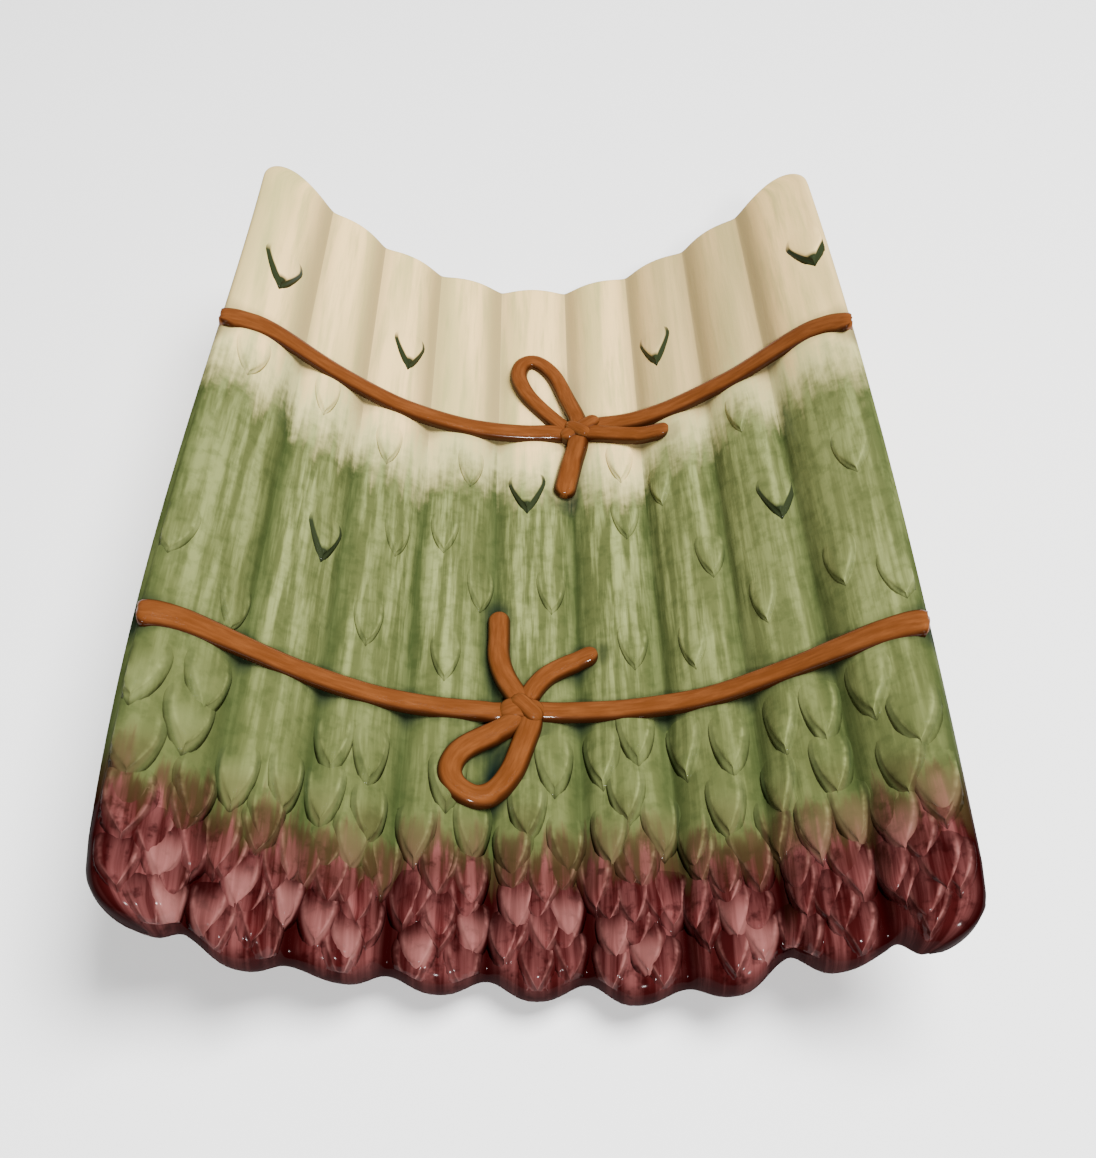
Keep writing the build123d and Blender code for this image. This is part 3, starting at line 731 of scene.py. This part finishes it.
strap_piece("rear_strap_left", "rear_tie_left",
            (((-93.2, 54.0), (-90.2, 56.6), (-86.0, 58.9), (-78.0, 61.0), (-65.0, 60.6), (-42.0, 58.9),
              (-11.0, 58.5), (12.0, 58.8)), rear_half, strap_high, 0.0), ends=at_left_rim, flare=rear_flare)
strap_piece("rear_strap_right", "rear_tie_right",
            (((14.0, 58.8), (21.0, 59.7), (34.0, 58.7), (57.0, 60.1), (77.0, 61.6), (85.0, 60.4),
              (89.6, 58.2), (93.0, 55.4)), rear_half, strap_high, 0.0), ends=at_right_rim, flare=rear_flare)
strap_piece("rear_loop", "rear_bow_loop",
            (((14.5, 60.0), (13.6, 65.8), (10.3, 75.7), (6.3, 85.8), (0.9, 91.6), (-3.6, 90.4), (-4.9, 84.3),
              (-2.3, 76.2), (2.5, 68.8), (8.8, 61.6), (12.0, 58.5)), strand_half, 2.4, 0.3))
strap_piece("rear_tail_right", "rear_tail_side",
            (((15.0, 57.5), (20.0, 55.6), (27.0, 53.3), (34.4, 51.2), (41.2, 49.5)),
             strand_half + 0.2, 2.6, 0.6))
strap_piece("rear_tail_low", "rear_tail_front",
            (((14.0, 57.0), (13.4, 51.5), (11.3, 43.7), (9.6, 36.1), (8.8, 31.0)),
             strand_half + 0.7, 2.6, 0.5))
strap_piece("rear_bow_knot", "rear_knot",
            (((8.2, 56.4), (12.0, 57.6), (20.5, 61.2)), 3.0, 3.4, 0.5),
            (((10.0, 61.6), (14.0, 58.4), (17.4, 54.8)), 2.5, 3.4, 1.0))

# Front tie and bow
# The same strap of clay nearer the tips, its knot left of the middle.
# The loop lies towards the tips and both tails towards the cut ends.
front_half, front_flare = 3.1, 0.35
strap_piece("front_strap_left", "front_tie_left",
            (((-101.2, -49.1), (-94.4, -47.4), (-76.0, -48.2), (-56.6, -49.6), (-36.2, -50.1), (-5.0, -49.4)),
             front_half, strap_high, 0.0), ends=at_left_rim, flare=front_flare)
strap_piece("front_strap_right", "front_tie_right",
            (((-3.5, -49.6), (6.5, -49.6), (28.0, -50.2), (48.4, -50.6), (68.1, -49.2), (92.5, -48.4),
              (99.4, -50.0)), front_half, strap_high, 0.0), ends=at_right_rim, flare=front_flare)
strap_piece("front_loop", "front_bow_loop",
            (((-3.6, -51.0), (-7.5, -54.1), (-14.9, -58.8), (-20.6, -64.1), (-22.7, -69.9), (-20.8, -74.6),
              (-15.8, -76.8), (-10.7, -74.6), (-6.4, -68.7), (-3.8, -61.4), (-1.6, -53.9), (-2.0, -50.0)),
             strand_half + 0.6, 2.7, 0.3))
# Pooled glaze and painted shade on the stalks inside the front loop.
pool_and_shade_in_loop, pool_and_shade_in_loop_half, pool_and_shade_in_loop_depth = ((-7.8, -59.5), (-9.4, -64.0), (-11.6, -69.5)), 0.9, 1.0
pool_and_shade_beside(pool_and_shade_in_loop, pool_and_shade_in_loop_half, pool_and_shade_in_loop_depth)
strap_piece("front_tail_up", "front_tail_left",
            (((-3.4, -47.6), (-5.7, -43.4), (-8.5, -37.5), (-10.2, -30.6), (-10.2, -23.0), (-10.3, -14.8)),
             strand_half + 0.4, 2.5, 0.3))
strap_piece("front_tail_over", "front_tail_right",
            (((-2.2, -47.0), (-1.1, -43.3), (2.5, -38.2), (7.2, -34.5), (12.3, -31.8), (17.2, -30.0)),
             strand_half + 0.2, 2.4, 0.3))
strap_piece("front_bow_knot", "front_knot",
            (((-10.0, -50.6), (-4.5, -49.2), (2.2, -51.4)), 3.9, 3.2, 0.4),
            (((-6.4, -45.6), (-3.2, -48.6), (1.0, -53.8)), 2.8, 3.3, 0.9))

# Setting
# A plain pale table, soft light from the front and above, and the camera of the photograph.
bm = bmesh.new()
bmesh.ops.create_grid(bm, x_segments=1, y_segments=1, size=6.0)
table_mesh = bpy.data.meshes.new("table")
bm.to_mesh(table_mesh)
bm.free()
table = bpy.data.objects.new("table", table_mesh)
bpy.context.scene.collection.objects.link(table)
pale_table, tree = new_material("pale_table")
tree.nodes["Principled BSDF"].inputs["Base Color"].default_value = (0.95, 0.95, 0.95, 1.0)
tree.nodes["Principled BSDF"].inputs["Roughness"].default_value = 0.9
table_mesh.materials.append(pale_table)

world = bpy.data.worlds.new("studio")
world.use_nodes = True
world.node_tree.nodes["Background"].inputs["Color"].default_value = (1.0, 1.0, 1.0, 1.0)
world.node_tree.nodes["Background"].inputs["Strength"].default_value = 0.14
bpy.context.scene.world = world


def soft_light(name, place, aim, size, power, glints):
    light = bpy.data.lights.new(name, "AREA")
    light.shape = "SQUARE"
    light.size = size
    light.energy = power
    lamp = bpy.data.objects.new(name, light)
    bpy.context.scene.collection.objects.link(lamp)
    lamp.visible_glossy = glints
    lamp.location = place
    lamp.rotation_euler = (Vector(aim) - Vector(place)).to_track_quat("-Z", "Y").to_euler()


soft_light("front_window", (0.1, -0.9, 0.9), (0.0, 0.0, 0.0), 0.11, 16.0, True)
soft_light("overhead", (0.45, 0.1, 1.37), (0.0, 0.0, 0.0), 0.8, 62.0, False)

sensor, focal_pixels, photo_pixels = 36.0, 1500.0, 1096.0
eye = Vector((-7.49, -284.64, 347.98))
yaw, dip, roll = radians(2.28), radians(49.62), radians(2.23)
forward = Vector((sin(yaw) * cos(dip), cos(yaw) * cos(dip), -sin(dip)))
right = forward.cross(Vector((0.0, 0.0, 1.0))).normalized()
above = right.cross(forward)
turned_right = right * cos(roll) + above * sin(roll)
turned_up = above * cos(roll) - right * sin(roll)
camera_data = bpy.data.cameras.new("camera")
camera_data.sensor_fit = "HORIZONTAL"
camera_data.sensor_width = sensor
camera_data.lens = sensor * focal_pixels / photo_pixels
camera = bpy.data.objects.new("camera", camera_data)
bpy.context.scene.collection.objects.link(camera)
turn = Matrix((turned_right, turned_up, -forward)).transposed().to_4x4()
camera.matrix_world = Matrix.Translation(eye * mm) @ turn
bpy.context.scene.camera = camera
